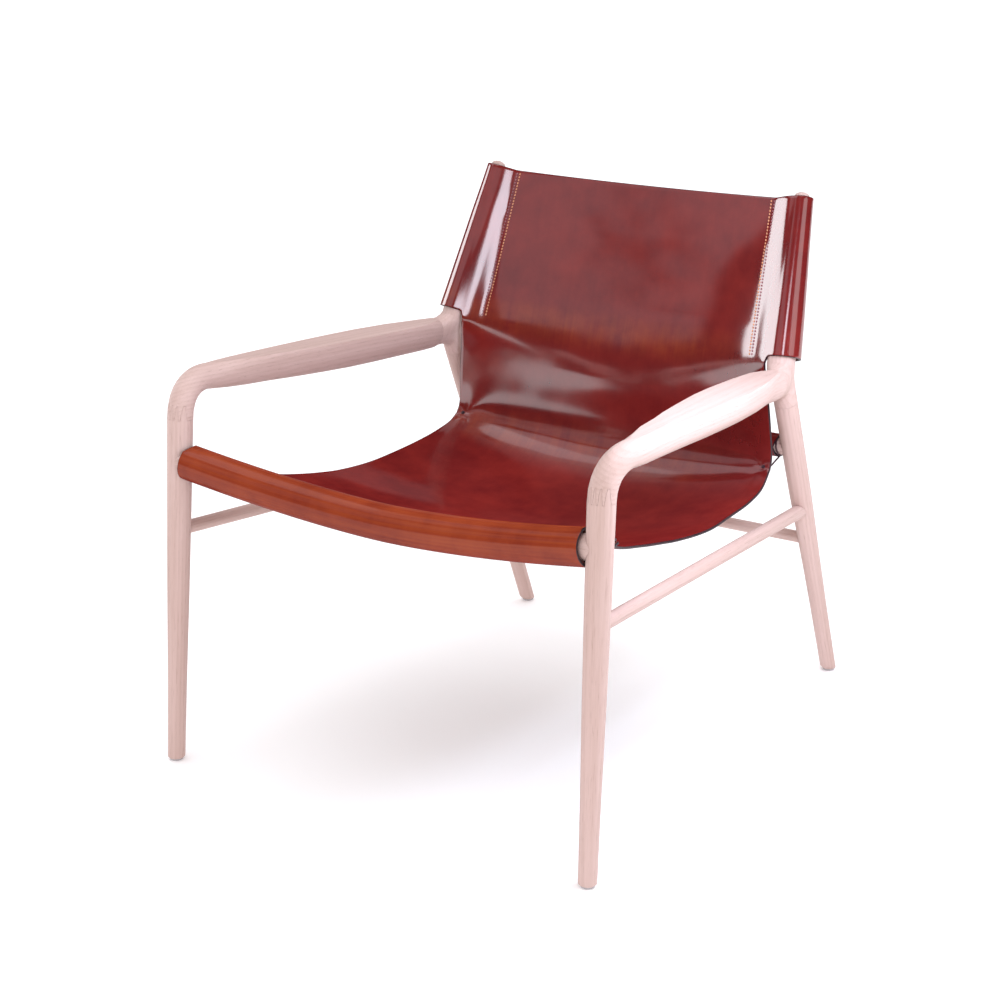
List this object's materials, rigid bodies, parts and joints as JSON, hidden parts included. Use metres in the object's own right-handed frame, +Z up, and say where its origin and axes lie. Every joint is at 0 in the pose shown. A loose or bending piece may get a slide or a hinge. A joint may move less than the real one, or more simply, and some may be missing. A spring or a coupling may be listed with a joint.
{
  "type": "sling lounge chair",
  "caption": "Low lounge chair with a thick leather hide slung from a bowed front rail to raked back posts, on a turned wood frame with flat leaf-shaped armrests.",
  "frame": {"origin": "middle of the plan, on the floor", "axes": "+Z up, the sitter faces -Y, +X is the right side as seen from the front"},
  "size_m": [0.698, 0.8274, 0.7518],
  "materials": {
    "oak": "soaped, matt, pale pinkish",
    "dowel": "bare",
    "leather": "burnished, glossy, dark red-brown",
    "lace": "matt, dark",
    "glide": "matt"
  },
  "bodies": {
    "root": {"front_leg_left": "oak", "rear_leg_left": "oak", "back_post_left": "oak", "arm_left": "oak", "side_stretcher_left": "oak", "knuckle_dowel_left": "dowel", "arm_dowel_left": "dowel", "front_glide_left": "glide", "rear_glide_left": "glide", "lace_left": "lace", "front_leg_right": "oak", "rear_leg_right": "oak", "back_post_right": "oak", "arm_right": "oak", "side_stretcher_right": "oak", "knuckle_dowel_right": "dowel", "arm_dowel_right": "dowel", "front_glide_right": "glide", "rear_glide_right": "glide", "lace_right": "lace", "front_rail": "oak", "rear_rail": "oak", "rear_stretcher": "oak", "rear_rail_sleeve": "leather", "leather_sling": "leather"}
  },
  "joints": []
}
